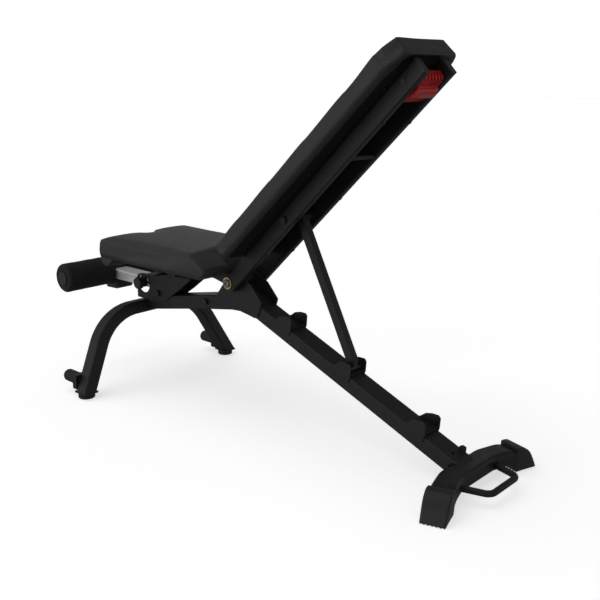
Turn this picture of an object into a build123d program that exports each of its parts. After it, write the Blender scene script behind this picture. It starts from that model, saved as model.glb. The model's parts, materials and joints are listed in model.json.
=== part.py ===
from build123d import *
import os
from math import atan2, cos, degrees, hypot, radians, sin, tan

# Adjustable weight bench, in millimetres. +Z is up, -X is the foot end with the foam rollers,
# +X is the rear with the carry handle, and Y runs across the bench.
# The origin is on the floor, under the middle of the bench.

# ---------------------------------------------------------------- driving dimensions
PIVOT_HEIGHT = 384.0          # main pivot above the floor
FRONT_REACH = 662.0           # main pivot to the front of the foam rollers
REAR_REACH = 863.0            # main pivot to the back of the carry handle
BACK_ANGLE = 43.5             # backrest above the horizontal
FIT = 0.05                    # radial running clearance of a shaft in its bush
GAP = 0.3                     # clearance between pieces that move past each other

TUBE_WIDTH = 60.0             # frame tube across the bench
TUBE_HEIGHT = 42.0
TUBE_WALL = 2.5
TUBE_CORNER = 4.0
RAIL_SLOPE = 21.8             # rear rail, down towards the rear
RAIL_UNDER_PIVOT = 20.0       # rail's top line, straight below the main pivot
FRONT_SLOPE = 10.6            # front tube, up towards the pivot
RAIL_HOLE_STATION = 775.0     # small drain holes near the rail's lower end

ARCH_REACH = 437.0            # pivot to the top of the front leg arch
ARCH_HEIGHT = 235.0           # centre of the arch's top
ARCH_WIDTH = 54.0             # arch tube, front to rear
ARCH_THICKNESS = 40.0
ARCH_WALL = 2.5
ARCH_CORNER = 8.0
ARCH_BEND = 160.0
LEG_SPLAY = 27.6              # leg from the vertical
LEG_LEAN = 9.0                # arch plane, feet to the rear
FOOT_HALF_TRACK = 295.0
LEG_END_HEIGHT = 19.0
FOOT_PAD_RADIUS = 25.0
BUMPER_RADIUS = 19.0
BUMPER_LENGTH = 66.0
BUMPER_STAND = 14.0           # bracket between the leg and the bumper
BUMPER_HEIGHT = 46.0
BUMPER_OUTSET = 8.0           # bumper axis outside the leg's centre line

STABILIZER_REACH = 759.0      # pivot to the centre of the rear stabilizer
STABILIZER_WIDTH = 60.0
STABILIZER_THICKNESS = 40.0
STABILIZER_HEIGHT = 41.0      # centre of its straight middle
STABILIZER_CORNER = 10.0
STABILIZER_SWEEP = 17.0       # arms towards the rear
STABILIZER_DROP = 55.0        # ends towards the floor
SWEEP_START = 75.0
DROP_START = 150.0
CAP_WALL = 3.5
CAP_REACH = 216.0             # outer end of the rear caps from the middle
CAP_SOLE = 70.0               # length of their soles

HANDLE_ROD = 8.0              # carry handle rod's radius
HANDLE_HALF_WIDTH = 80.0
HANDLE_GRIP_HALF_WIDTH = 60.0
HANDLE_HEIGHT = 35.0

BACK_LENGTH = 850.0           # main pivot to the rails' upper end
BACK_RAIL_OUTER = 63.0        # rails' outer faces from the middle
BACK_RAIL_WIDTH = 20.0
BACK_RAIL_HEIGHT = 44.0
BACK_RAIL_SET = -6.0          # rails' centre line under the pivot line
BACK_WALL = 2.0
BOARD = 12.0                  # plywood under each pad
BACK_PAD_START = 104.0
BACK_PAD_END = 858.0
BACK_PAD_THICKNESS = 50.0
BACK_PAD_LOW_WIDTH = 288.0
BACK_PAD_HIGH_WIDTH = 243.0
BACK_CORNER_LENGTH = 54.0
BACK_CORNER_CUT = 43.0
CROSS_ROD_STATION = 560.0
CROSS_ROD_RADIUS = 6.0
LEVER_STATION = 800.0
LEVER_RIB_PITCH = 7.4
LEVER_GROOVE = 3.0

STRUT_STATION = 300.0         # strut pivot along the back rails
STRUT_SET = -4.0              # strut pivot under the pivot line
STRUT_SECTION = 22.0
STRUT_DEPTH = 25.0
STRUT_WALL = 2.0
STRUT_CORNER = 2.5
STRUT_OFFSET = 4.0            # tube's centre line behind the pins' line
STRUT_PIN_RADIUS = 6.0
STRUT_HUB_RADIUS = 10.0
FOOT_PIN_RADIUS = 6.0
FOOT_PIN_HALF = 25.0
FOOT_PIN_HEIGHT = 12.0        # foot pin's centre above the rail
FOOT_STATIONS = {"front": 210.0, "middle": 434.0, "rear": 685.0}

CATCH_PLATE = 3.0
CATCH_LENGTH = 56.0
CATCH_HEIGHT = 34.0
CATCH_LIP_TOP = 8.0
CATCH_LIP_GAP = 13.0

SEAT_HEIGHT = 468.0
SEAT_PAD_THICKNESS = 50.0
SEAT_WIDTH = 330.0
SEAT_FRONT = 480.0            # pivot to the seat's front lip
SEAT_REAR = 10.0
SEAT_TAIL = 15.0               # side lobes of the seat reach this far behind the pivot
SEAT_SLOPE = 72.5              # length of the slope down to their ends
SEAT_RECESS_HALF = 70.0        # between the lobes, where the raised back rails come through
SEAT_HEEL = 6.0                # the recess's wall, in front of the seat's middle rear
SEAT_NOTCH_DEPTH = 54.0
SEAT_NOTCH_WIDTH = 112.0
SEAT_NOTCH_FLOOR = 24.0
SEAT_LIP_DROP = 28.0
SEAT_RAIL_WIDTH = 20.0
SEAT_RAIL_HEIGHT = 25.0
SEAT_RAIL_FRONT = 400.0
SEAT_LUG = 4.0

GUSSET = 4.0
SHAFT_RADIUS = 10.0
SLEEVE_RADIUS = 16.0
BUSH_FLANGE_RADIUS = 17.0
BUSH_FLANGE = 3.0

LEG_TUBE_WIDTH = 59.4
LEG_TUBE_HEIGHT = 31.0
LEG_TUBE_BOTTOM = 297.0
LEG_TUBE_FRONT = 600.0        # pivot to its front end
LEG_TUBE_LENGTH = 300.0
LEG_TUBE_WALL = 2.0
LEG_TRAVEL_IN = 40.0
LEG_TRAVEL_OUT = 40.0
GUIDE_PLATE = 4.0
KNOB_REACH = 428.0            # pivot to the pull knob
PLUNGER_RADIUS = 5.0

ROLLER_RADIUS = 46.0
ROLLER_LENGTH = 176.0
ROLLER_BORE = 15.0
ROLLER_START = 32.0           # inner end from the middle
AXLE_RADIUS = 10.0
AXLE_HEIGHT = 324.0

# ---------------------------------------------------------------- derived places
PIVOT_X = (FRONT_REACH - REAR_REACH) / 2
HALF_TUBE = TUBE_WIDTH / 2
PLATE_FACE = HALF_TUBE + GUSSET
ARCH_X = PIVOT_X - ARCH_REACH
STABILIZER_X = PIVOT_X + STABILIZER_REACH
AXLE_X = PIVOT_X - FRONT_REACH + ROLLER_RADIUS
RAIL_INNER = BACK_RAIL_OUTER - BACK_RAIL_WIDTH
PAD_BASE = BACK_RAIL_SET + BACK_RAIL_HEIGHT / 2
SEAT_BASE = SEAT_HEIGHT - SEAT_PAD_THICKNESS - BOARD
LEG_TUBE_X = PIVOT_X - LEG_TUBE_FRONT
KNOB_X = PIVOT_X - KNOB_REACH
KNOB_Z = LEG_TUBE_BOTTOM + LEG_TUBE_HEIGHT / 2
GUIDE_INNER = LEG_TUBE_WIDTH / 2 + GAP
GUIDE_FACE = GUIDE_INNER + GUIDE_PLATE
SIDES = {"left": -1, "right": 1}


# ---------------------------------------------------------------- helpers
def save(node, shape):
    """Writes one named sub-part."""
    shape.label = node
    export_step(shape, f"parts/{node}.step")


def group(solids):
    """Separate identical solids that share one node."""
    return Compound(children=list(solids))


def rail_point(station, height):
    """A point on the rear rail: along it from under the pivot, and square above its top."""
    slope = radians(RAIL_SLOPE)
    x = PIVOT_X + station * cos(slope) + height * sin(slope)
    z = PIVOT_HEIGHT - RAIL_UNDER_PIVOT - station * sin(slope) + height * cos(slope)
    return x, z


def back_point(station, height):
    """A point on the backrest: along it from the pivot, and square towards the pad."""
    lean = radians(BACK_ANGLE)
    x = PIVOT_X + station * cos(lean) - height * sin(lean)
    z = PIVOT_HEIGHT + station * sin(lean) + height * cos(lean)
    return x, z


def front_top(x):
    """Height of the front tube's top line."""
    meet_x, meet_z = mitre_point()
    return meet_z + (x - meet_x) * tan(radians(FRONT_SLOPE))


def mitre_point():
    """Where the front tube's and the rail's top lines meet."""
    return rail_point(35.5, 0)


def box_between(x0, x1, y0, y1, z0, z1):
    middle = Pos((x0 + x1) / 2, (y0 + y1) / 2, (z0 + z1) / 2)
    return middle * Box(abs(x1 - x0), abs(y1 - y0), abs(z1 - z0))


def rod_across(x, z, radius, y0, y1):
    """A round bar along Y."""
    return Pos(x, (y0 + y1) / 2, z) * Rot(90, 0, 0) * Cylinder(radius, abs(y1 - y0))


def ring_across(x, z, radius, bore, y0, y1):
    return rod_across(x, z, radius, y0, y1) - rod_across(x, z, bore, min(y0, y1) - 1, max(y0, y1) + 1)


def plate_across(points, y0, y1, radius=0.0):
    """A flat plate: an outline of (x, z) points, from y0 to y1."""
    corners = [(x, 0, z) for x, z in points]
    if radius:
        outline = FilletPolyline(*corners, radius=radius, close=True)
    else:
        outline = Polyline(*corners, close=True)
    return Pos(0, min(y0, y1), 0) * extrude(make_face(outline), amount=abs(y1 - y0), dir=(0, 1, 0))


def section(width, height, corner, wall=0.0):
    """A rounded rectangle, hollow when it has a wall."""
    outer = RectangleRounded(width, height, corner)
    if not wall:
        return outer
    return outer - RectangleRounded(width - 2 * wall, height - 2 * wall, max(corner - wall, 0.5))


def straight_tube(start, end, y, width, height, corner, wall=0.0):
    """A tube in a plane across the bench, between two (x, z) points; width runs along Y."""
    run = Vector(end[0] - start[0], 0, end[1] - start[1])
    plane = Plane(origin=(start[0], y, start[1]), x_dir=(0, 1, 0), z_dir=run.normalized())
    return extrude(plane * section(width, height, corner, wall), amount=run.length)


def mirrored(shape):
    return mirror(shape, about=Plane.XZ)


def hex_bolt_head(x, z, y, side, across=17.0, height=7.0, washer=10.0):
    """A hexagon head with its washer on a face whose outward side is given."""
    disc = rod_across(x, z, washer, y, y + side * 1.6)
    seat = Plane(origin=(x, y + side * 1.6, z), z_dir=(0, side, 0))
    head = extrude(seat * RegularPolygon(across / 2, 6, major_radius=False), amount=height)
    return disc + head


# ---------------------------------------------------------------- main frame
def mitre_half(keep_rear):
    """A large block on one side of the mitre between front tube and rear rail."""
    x, z = mitre_point()
    tilt = (FRONT_SLOPE - RAIL_SLOPE) / 2
    offset = 500 if keep_rear else -500
    return Pos(x, 0, z) * Rot(0, -tilt, 0) * Pos(offset, 0, 0) * Box(1000, 400, 900)


def front_tube():
    slope = radians(FRONT_SLOPE)
    half = TUBE_HEIGHT / 2
    meet_x, meet_z = mitre_point()
    far = 80.0
    start_x = ARCH_X
    run = (meet_x - start_x) / cos(slope)
    start = (start_x + half * sin(slope), front_top(start_x) - half * cos(slope))
    end = (start[0] + (run + far) * cos(slope), start[1] + (run + far) * sin(slope))
    tube = straight_tube(start, end, 0, TUBE_WIDTH, TUBE_HEIGHT, TUBE_CORNER, TUBE_WALL)
    tube = tube & mitre_half(False)
    tube -= box_between(ARCH_X - 60, ARCH_X, -60, 60, 150, 350)
    return tube - arch_blank()


def rear_rail():
    half = TUBE_HEIGHT / 2
    start = rail_point(-60, -half)
    end = rail_point(STABILIZER_REACH / cos(radians(RAIL_SLOPE)) + 60, -half)
    rail = straight_tube(start, end, 0, TUBE_WIDTH, TUBE_HEIGHT, TUBE_CORNER, TUBE_WALL)
    rail = rail & mitre_half(True)
    front = STABILIZER_X - STABILIZER_WIDTH / 2
    top = STABILIZER_HEIGHT + STABILIZER_THICKNESS / 2
    rail -= box_between(front, front + 200, -60, 60, -200, top)
    x, z = rail_point(RAIL_HOLE_STATION, 0)
    rail -= Pos(x, -8, z) * Rot(0, RAIL_SLOPE, 0) * Cylinder(4, 12)
    x, z = rail_point(RAIL_HOLE_STATION + 15, -half)
    return rail - rod_across(x, z, 4.5, -HALF_TUBE - 2, -HALF_TUBE + 6)


def gusset(side):
    """The plate that carries the main pivot on one side of the frame."""
    outline = [(-111, -102), (-83, -56), (-49, -13), (-24, 14), (0, 20), (24, 16), (64, -3),
               (104, -46), (88, -88), (78, -94), (50, -89), (18, -84), (-16, -86)]
    points = [(PIVOT_X + x, PIVOT_HEIGHT + z) for x, z in outline]
    plate = plate_across(points, side * HALF_TUBE, side * PLATE_FACE, radius=5)
    return plate - rod_across(PIVOT_X, PIVOT_HEIGHT, SLEEVE_RADIUS, side * 20, side * 60)


def pivot_sleeve():
    """The welded tube in which the pivot shaft turns."""
    return ring_across(PIVOT_X, PIVOT_HEIGHT, SLEEVE_RADIUS, SHAFT_RADIUS + FIT,
                       -PLATE_FACE, PLATE_FACE)


def arch_normal():
    """Square to the leaning plane that holds the arch's centre line."""
    lean = radians(LEG_LEAN)
    return Vector(cos(lean), 0, sin(lean))


def arch_corner_half_width():
    return FOOT_HALF_TRACK - ARCH_HEIGHT * tan(radians(LEG_SPLAY))


def leg_centre(z):
    """Centre (x, |y|) of a front leg at a height."""
    drop = ARCH_HEIGHT - z
    x = ARCH_X + drop * tan(radians(LEG_LEAN))
    return x, arch_corner_half_width() + drop * tan(radians(LEG_SPLAY))


def arch_blank():
    """The arch with its tube filled, for what butts against it."""
    return front_leg_arch(wall=0.0)


def front_leg_arch(wall=ARCH_WALL):
    top = ARCH_HEIGHT
    below = -40.0
    foot_x, foot_y = leg_centre(below)
    corner = arch_corner_half_width()
    path = FilletPolyline((foot_x, -foot_y, below), (ARCH_X, -corner, top),
                          (ARCH_X, corner, top), (foot_x, foot_y, below), radius=ARCH_BEND)
    start = Plane(origin=path @ 0, x_dir=arch_normal(), z_dir=path % 0)
    arch = sweep(start * section(ARCH_WIDTH, ARCH_THICKNESS, ARCH_CORNER, wall), path=path)
    return arch & box_between(ARCH_X - 300, ARCH_X + 300, -400, 400, LEG_END_HEIGHT, 400)


def leg_cap(side):
    """The plastic end cap of a front leg: a rim under the tube and a plug inside it."""
    x, y = leg_centre(LEG_END_HEIGHT)
    rim_half_y = ARCH_THICKNESS / 2 / cos(radians(LEG_SPLAY)) + 3
    rim = Pos(x, side * y, LEG_END_HEIGHT - 2.5) * extrude(
        RectangleRounded(ARCH_WIDTH + 6, 2 * rim_half_y, 8), amount=2.5)
    plug_x = ARCH_WIDTH - 2 * ARCH_WALL - 2
    plug_y = 2 * (rim_half_y - 3 - ARCH_WALL / cos(radians(LEG_SPLAY))) - 4
    shift = 4.0
    plug = Pos(x, side * (y - shift), LEG_END_HEIGHT) * extrude(
        RectangleRounded(plug_x - 4, plug_y - 8, 5), amount=7)
    return rim + plug


def foot_pad(side):
    x, y = leg_centre(LEG_END_HEIGHT)
    height = LEG_END_HEIGHT - 2.5
    pad = Pos(x, side * y, height / 2) * Cylinder(FOOT_PAD_RADIUS, height)
    return fillet(pad.edges().sort_by(Axis.Z)[0], 4)


def bumper_place(side):
    x, y = leg_centre(BUMPER_HEIGHT)
    return x - ARCH_WIDTH / 2 / cos(radians(LEG_LEAN)), side * (y + BUMPER_OUTSET)


def bumper_mount(side):
    """The welded bracket block on the leg's front face that carries a stow bumper."""
    face, y = bumper_place(side)
    half = BUMPER_RADIUS + 1
    block = box_between(face - BUMPER_STAND, face + 20, y - half, y + half,
                        BUMPER_HEIGHT - half - 6, BUMPER_HEIGHT + half)
    block = fillet(block.edges().filter_by(Axis.X), 5)
    lower = Pos(0, side * 4, 0) * block
    return (block + lower) - arch_blank() - box_between(face + 6, face + 60, -400, 400, 0, 200)


def stow_bumper(side):
    """The rubber foot that the bench stands on when it is stowed upright."""
    face, y = bumper_place(side)
    base = face - BUMPER_STAND
    body = Pos(base - BUMPER_LENGTH / 2, y, BUMPER_HEIGHT) * Rot(0, 90, 0) * Cylinder(
        BUMPER_RADIUS, BUMPER_LENGTH)
    return fillet(body.edges().sort_by(Axis.X)[0], BUMPER_RADIUS * 0.7)


def stabilizer_path():
    """Centre line of one half of the rear stabilizer, from the middle to below the floor."""
    sweep_run = DROP_START - SWEEP_START
    sweep_tan = tan(radians(STABILIZER_SWEEP))
    bend_x = STABILIZER_X + sweep_run * sweep_tan
    plan = hypot(1, sweep_tan)
    fall = STABILIZER_HEIGHT + 60
    run = fall / tan(radians(STABILIZER_DROP)) / plan
    end = (bend_x + run * sweep_tan, DROP_START + run, STABILIZER_HEIGHT - fall)
    return FilletPolyline((STABILIZER_X, 0, STABILIZER_HEIGHT),
                          (STABILIZER_X, SWEEP_START, STABILIZER_HEIGHT),
                          (bend_x, DROP_START, STABILIZER_HEIGHT), end, radius=[60, 60])


def stabilizer_half(grow=0.0, wall=0.0):
    path = stabilizer_path()
    start = Plane(origin=path @ 0, x_dir=(1, 0, 0), z_dir=path % 0)
    face = section(STABILIZER_WIDTH + 2 * grow, STABILIZER_THICKNESS + 2 * grow,
                   STABILIZER_CORNER + grow, wall)
    return sweep(start * face, path=path)


def above(height):
    return box_between(STABILIZER_X - 400, STABILIZER_X + 400, -500, 500, height, 400)


def rear_stabilizer():
    half = stabilizer_half(wall=TUBE_WALL) & above(9)
    return half + mirrored(half)


def rear_cap(side):
    """The large plastic shoe over one end of the stabilizer, with a grooved sole."""
    sole = CAP_REACH - CAP_SOLE
    top = STABILIZER_HEIGHT + STABILIZER_THICKNESS / 2 + CAP_WALL
    low = STABILIZER_HEIGHT - STABILIZER_THICKNESS / 2 - CAP_WALL
    profile = [(CAP_REACH - 84, top), (CAP_REACH - 55, top + 2), (CAP_REACH - 24, top - 16),
               (CAP_REACH - 6, 28), (CAP_REACH, 0), (sole, 0), (sole - 6, low)]
    turn = radians(STABILIZER_SWEEP)
    plane = Plane(origin=(STABILIZER_X, SWEEP_START, 0), x_dir=(sin(turn), cos(turn), 0),
                  z_dir=(cos(turn), -sin(turn), 0))
    points = [((y - SWEEP_START) / cos(turn), z) for y, z in profile]
    half = STABILIZER_WIDTH / 2 + CAP_WALL
    face = make_face(FilletPolyline(*points, radius=[4, 24, 24, 10, 2, 2, 4], close=True))
    shoe = extrude(plane * face, amount=half, both=True)
    long_edges = shoe.edges().filter_by(lambda edge: edge.center().Z > 45)
    shoe = fillet(long_edges.filter_by(lambda edge: edge.length > 20), 5)
    shoe -= stabilizer_half(grow=0.15) & above(9 - 0.3)
    for index in range(5):
        y = sole + 8 + index * (CAP_SOLE - 16) / 4
        x = STABILIZER_X + (y - SWEEP_START) * tan(turn)
        shoe -= Pos(x, y, 0) * Rot(0, 0, -STABILIZER_SWEEP) * Box(120, 4, 5)
    return mirrored(shoe) if side < 0 else shoe


def carry_handle():
    face = STABILIZER_X + STABILIZER_WIDTH / 2
    outer = PIVOT_X + REAR_REACH - HANDLE_ROD
    z = HANDLE_HEIGHT
    inside = face - 5
    wide = HANDLE_HALF_WIDTH
    grip = HANDLE_GRIP_HALF_WIDTH
    path = FilletPolyline((inside, -wide, z), (outer, -grip, z), (outer, grip, z),
                          (inside, wide, z), radius=22)
    start = Plane(origin=path @ 0, z_dir=path % 0)
    rod = sweep(start * Circle(HANDLE_ROD), path=path)
    solid = stabilizer_half()
    return rod - solid - mirrored(solid)


def catch(station):
    """A bent saddle on the rail that holds the strut's foot pin against its rear lip."""
    first = station - 42
    profile = [(first, -14), (first, 0), (first + 10, 16), (first + 26, 27),
               (first + 44, CATCH_HEIGHT), (first + 52, CATCH_HEIGHT - 4),
               (first + CATCH_LENGTH + 4, 4), (first + CATCH_LENGTH + 4, -14)]
    points = [rail_point(s, h) for s, h in profile]
    cheeks = [plate_across(points, side * HALF_TUBE, side * (HALF_TUBE + CATCH_PLATE), radius=3)
              for side in SIDES.values()]
    floor_top = FOOT_PIN_HEIGHT - FOOT_PIN_RADIUS - GAP
    lip = station + CATCH_LIP_GAP
    floor = [(station - 18, 0), (station - 18, floor_top), (lip, floor_top),
             (lip, CATCH_LIP_TOP), (lip + CATCH_PLATE, CATCH_LIP_TOP), (lip + CATCH_PLATE, 0)]
    saddle = plate_across([rail_point(s, h) for s, h in floor], -HALF_TUBE, HALF_TUBE)
    return saddle + cheeks[0] + cheeks[1]


def storage_tab():
    """A small upright lug on the rail's far edge near the stabilizer."""
    points = [rail_point(s, h) for s, h in ((772, 0), (772, 8), (778, 15), (788, 15), (793, 0))]
    return plate_across(points, 20, 24, radius=2)


def frame_bolts():
    """Bolt heads with washers on the gusset plates, and the pair at the guide plates."""
    heads = []
    bolt_x = PIVOT_X - 132
    bolt_z = front_top(bolt_x) - 19
    for side in SIDES.values():
        heads.append(hex_bolt_head(bolt_x, bolt_z, side * HALF_TUBE, side))
        x, z = guide_bolt_place()
        heads.append(hex_bolt_head(x, z, side * GUIDE_FACE, side))
    return group(heads)


# ---------------------------------------------------------------- leg tube guide
def guide_bolt_place():
    return PIVOT_X - 353, 289.0


def guide_outline():
    outline = [(-462, 240), (-462, 326), (-451, 337), (-430, 341), (-369, 341), (-319, 352),
               (-199, 359), (-199, 354), (-258, 311), (-298, 285), (-320, 268), (-349, 262),
               (-400, 258), (-411, 246), (-411, 240)]
    return [(PIVOT_X + x, z) for x, z in outline]


def guide_top(x):
    """Height of the guide plates' long sloping top edge."""
    return 352 + (x - PIVOT_X + 319) * (359 - 352) / (319 - 199)


def guide_plate(side):
    """A side plate that guides the leg tube, with a round finger recess about the knob."""
    y0, y1 = side * GUIDE_INNER, side * GUIDE_FACE
    plate = plate_across(guide_outline(), y0, y1, radius=2.2)
    recess = rod_across(KNOB_X, KNOB_Z - 4, 30, side * 20, side * 50)
    tongue = box_between(KNOB_X - 12, KNOB_X + 12, side * 10, side * 60, KNOB_Z - 8, 400)
    tongue += rod_across(KNOB_X, KNOB_Z - 4, 12, side * 10, side * 60)
    plate -= recess - tongue
    if side < 0:
        plate -= rod_across(KNOB_X, KNOB_Z, PLUNGER_RADIUS + 3, side * 20, side * 60)
    arch_clear = box_between(ARCH_X - ARCH_WIDTH / 2 - GAP, ARCH_X + ARCH_WIDTH / 2 + 14 + GAP,
                             side * 20, side * 60, 200, ARCH_HEIGHT + ARCH_THICKNESS / 2 + 4)
    return plate - arch_clear


def leg_tube_glides():
    """Plastic glides above and below the leg tube, between the guide plates."""
    x, z = guide_bolt_place()
    low_top = LEG_TUBE_BOTTOM - GAP
    high_base = LEG_TUBE_BOTTOM + LEG_TUBE_HEIGHT + GAP
    half = 18
    points = [(x - half, front_top(x - half)), (x - half, low_top), (x + half, low_top),
              (x + half, front_top(x + half))]
    blocks = [plate_across(points, -GUIDE_INNER, GUIDE_INNER)]
    for centre in (x, KNOB_X + 8):
        blocks.append(box_between(centre - half, centre + half, -GUIDE_INNER, GUIDE_INNER,
                                  high_base, high_base + 7))
    return group(blocks)


def plunger_barrel():
    """The threaded barrel that carries the spring plunger on the left guide plate."""
    return ring_across(KNOB_X, KNOB_Z, PLUNGER_RADIUS + 3, PLUNGER_RADIUS + FIT,
                       -GUIDE_INNER - 0.1, -GUIDE_FACE - 8)


def pull_knob():
    """The lobed knob with its plunger pin, which runs in the leg tube's slot."""
    y0 = -GUIDE_FACE - 9.5
    knob = rod_across(KNOB_X, KNOB_Z, 19, y0, y0 - 18)
    knob = fillet(knob.edges(), 4)
    for index in range(8):
        turn = radians(45 * index)
        x, z = KNOB_X + 21.5 * cos(turn), KNOB_Z + 21.5 * sin(turn)
        knob -= rod_across(x, z, 4.5, y0 + 1, y0 - 19)
    return knob + rod_across(KNOB_X, KNOB_Z, PLUNGER_RADIUS, -LEG_TUBE_WIDTH / 2 + 1.2, y0 - 4)


# ---------------------------------------------------------------- pivot shaft
def pivot_shaft():
    half = BACK_RAIL_OUTER + BUSH_FLANGE + 0.5
    return rod_across(PIVOT_X, PIVOT_HEIGHT, SHAFT_RADIUS, -half, half)


def shaft_screws():
    """Domed socket screws with washers that close the pivot shaft's ends."""
    half = BACK_RAIL_OUTER + BUSH_FLANGE + 0.5
    screws = []
    for side in SIDES.values():
        head = rod_across(PIVOT_X, PIVOT_HEIGHT, 12, side * half, side * (half + 5))
        outer = head.edges().sort_by(Axis.Y)[-1 if side > 0 else 0]
        head = fillet(outer, 2.5)
        socket = Plane(origin=(PIVOT_X, side * (half + 2), PIVOT_HEIGHT), z_dir=(0, side, 0))
        head -= extrude(socket * RegularPolygon(3.5, 6, major_radius=False), amount=6)
        screws.append(head)
    return group(screws)


def thrust_washers():
    """Plastic washers on the shaft between plates, seat lugs and back rails."""
    washers = []
    lug = seat_lug_faces()
    for side in SIDES.values():
        for inner, outer in ((PLATE_FACE, lug[0]), (lug[1], RAIL_INNER)):
            washers.append(ring_across(PIVOT_X, PIVOT_HEIGHT, 19, SHAFT_RADIUS + FIT,
                                       side * (inner + GAP), side * (outer - GAP)))
    return group(washers)


# ---------------------------------------------------------------- backrest
def back_rail(side):
    start = back_point(0, BACK_RAIL_SET)
    end = back_point(BACK_LENGTH, BACK_RAIL_SET)
    y = side * (BACK_RAIL_OUTER - BACK_RAIL_WIDTH / 2)
    tube = straight_tube(start, end, y, BACK_RAIL_WIDTH, BACK_RAIL_HEIGHT, 4, BACK_WALL)
    nose_x, nose_z = back_point(0, BACK_RAIL_SET)
    inner, outer = side * RAIL_INNER, side * BACK_RAIL_OUTER
    nose = rod_across(nose_x, nose_z, BACK_RAIL_HEIGHT / 2, inner, outer)
    hub = rod_across(PIVOT_X, PIVOT_HEIGHT, BUSH_FLANGE_RADIUS - 1, inner, outer)
    rail = tube + nose + hub
    rail -= rod_across(PIVOT_X, PIVOT_HEIGHT, SHAFT_RADIUS + 2, side * 30, side * 80)
    x, z = back_point(STRUT_STATION, STRUT_SET)
    rail -= rod_across(x, z, STRUT_PIN_RADIUS + FIT, side * 30, side * 80)
    x, z = lever_place()
    return rail - rod_across(x, z, 4, side * 30, side * 80)


def pivot_bush(side):
    """A flanged bush in the back rail; its flange shows as a ring on the outside."""
    inner = side * RAIL_INNER
    face = side * BACK_RAIL_OUTER
    barrel = rod_across(PIVOT_X, PIVOT_HEIGHT, SHAFT_RADIUS + 2, inner, face)
    flange = rod_across(PIVOT_X, PIVOT_HEIGHT, BUSH_FLANGE_RADIUS, face,
                        side * (BACK_RAIL_OUTER + BUSH_FLANGE))
    bush = barrel + flange
    return bush - rod_across(PIVOT_X, PIVOT_HEIGHT, SHAFT_RADIUS + FIT, side * 30, side * 90)


def rail_plug(side):
    """The plastic plug in a back rail's upper end."""
    start = back_point(BACK_LENGTH - 12, BACK_RAIL_SET)
    end = back_point(BACK_LENGTH, BACK_RAIL_SET)
    tip = back_point(BACK_LENGTH + 3, BACK_RAIL_SET)
    y = side * (BACK_RAIL_OUTER - BACK_RAIL_WIDTH / 2)
    inside = 2 * BACK_WALL + 0.2
    plug = straight_tube(start, end, y, BACK_RAIL_WIDTH - inside, BACK_RAIL_HEIGHT - inside, 1.8)
    return plug + straight_tube(end, tip, y, BACK_RAIL_WIDTH, BACK_RAIL_HEIGHT, 4)


def cross_rod():
    x, z = back_point(CROSS_ROD_STATION, BACK_RAIL_SET - BACK_RAIL_HEIGHT / 2 + 8)
    return rod_across(x, z, CROSS_ROD_RADIUS, -RAIL_INNER, RAIL_INNER)


def back_plane(height):
    """A plane parallel to the backrest; its x runs up the back and its y across the bench."""
    lean = radians(BACK_ANGLE)
    x, z = back_point(0, height)
    return Plane(origin=(x, 0, z), x_dir=(cos(lean), 0, sin(lean)), z_dir=(-sin(lean), 0, cos(lean)))


def back_outline(inset):
    """The tapered pad's plan, with its upper corners cut off."""
    low = BACK_PAD_LOW_WIDTH / 2 - inset
    high = BACK_PAD_HIGH_WIDTH / 2 - inset
    start = BACK_PAD_START + inset
    end = BACK_PAD_END - inset
    corner = BACK_CORNER_LENGTH
    cut = BACK_CORNER_CUT
    points = [(start, -low), (end - corner, -high), (end, -high + cut),
              (end, high - cut), (end - corner, high), (start, low)]
    return make_face(FilletPolyline(*points, radius=12, close=True))


def back_board():
    return extrude(back_plane(PAD_BASE) * back_outline(16), amount=BOARD)


def back_pad():
    """Foam and cover: one solid with a pocket that takes the board."""
    pad = extrude(back_plane(PAD_BASE) * back_outline(0), amount=BACK_PAD_THICKNESS)
    pocket = extrude(back_plane(PAD_BASE - 1) * back_outline(16 - 0.2), amount=BOARD + 1.1)
    return pad - pocket


def back_screws():
    """Button-head screws that go up through the rails' outer flanges into the board."""
    screws = []
    plane = back_plane(BACK_RAIL_SET - BACK_RAIL_HEIGHT / 2 - 3)
    for station in (170.0, 400.0, 690.0):
        for side in SIDES.values():
            place = Pos(station, side * (BACK_RAIL_OUTER - BACK_RAIL_WIDTH / 2), 0)
            disc = extrude(plane * place * Circle(6.5), amount=3)
            screws.append(disc)
    return group(screws)


# ---------------------------------------------------------------- release lever
def lever_place():
    return back_point(LEVER_STATION, -1.0)


def lever_pin():
    """The lever's cross pin with its round heads outside the rails."""
    x, z = lever_place()
    pin = rod_across(x, z, 4, -BACK_RAIL_OUTER - 0.2, BACK_RAIL_OUTER + 0.2)
    for side in SIDES.values():
        pin += rod_across(x, z, 7, side * BACK_RAIL_OUTER, side * (BACK_RAIL_OUTER + 2.5))
    return pin


def release_lever():
    """The ribbed paddle between the rails, with the tongue that a hand squeezes."""
    shape = [(792, -10), (786, 4), (798, 9), (826, 7), (834, -2), (833, -18), (826, -25),
             (808, -28), (800, -38), (788, -40), (776, -34), (764, -26), (748, -20), (744, -14),
             (752, -9), (770, -15)]
    points = [back_point(s, h) for s, h in shape]
    half = RAIL_INNER - 1.0
    body = plate_across(points, -half, half, radius=1.5)
    x, z = lever_place()
    body -= rod_across(x, z, 4 + FIT, -80, 80)
    face = [(808, -25.8), (826, -22.8), (830.8, -17), (831, -6), (842, -6), (842, -34), (808, -34)]
    groove = [back_point(s, h) for s, h in face]
    count = int((2 * half - 10) / LEVER_RIB_PITCH)
    for index in range(count):
        y = (index - (count - 1) / 2) * LEVER_RIB_PITCH
        body -= plate_across(groove, y - LEVER_GROOVE / 2, y + LEVER_GROOVE / 2)
    return body


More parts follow.
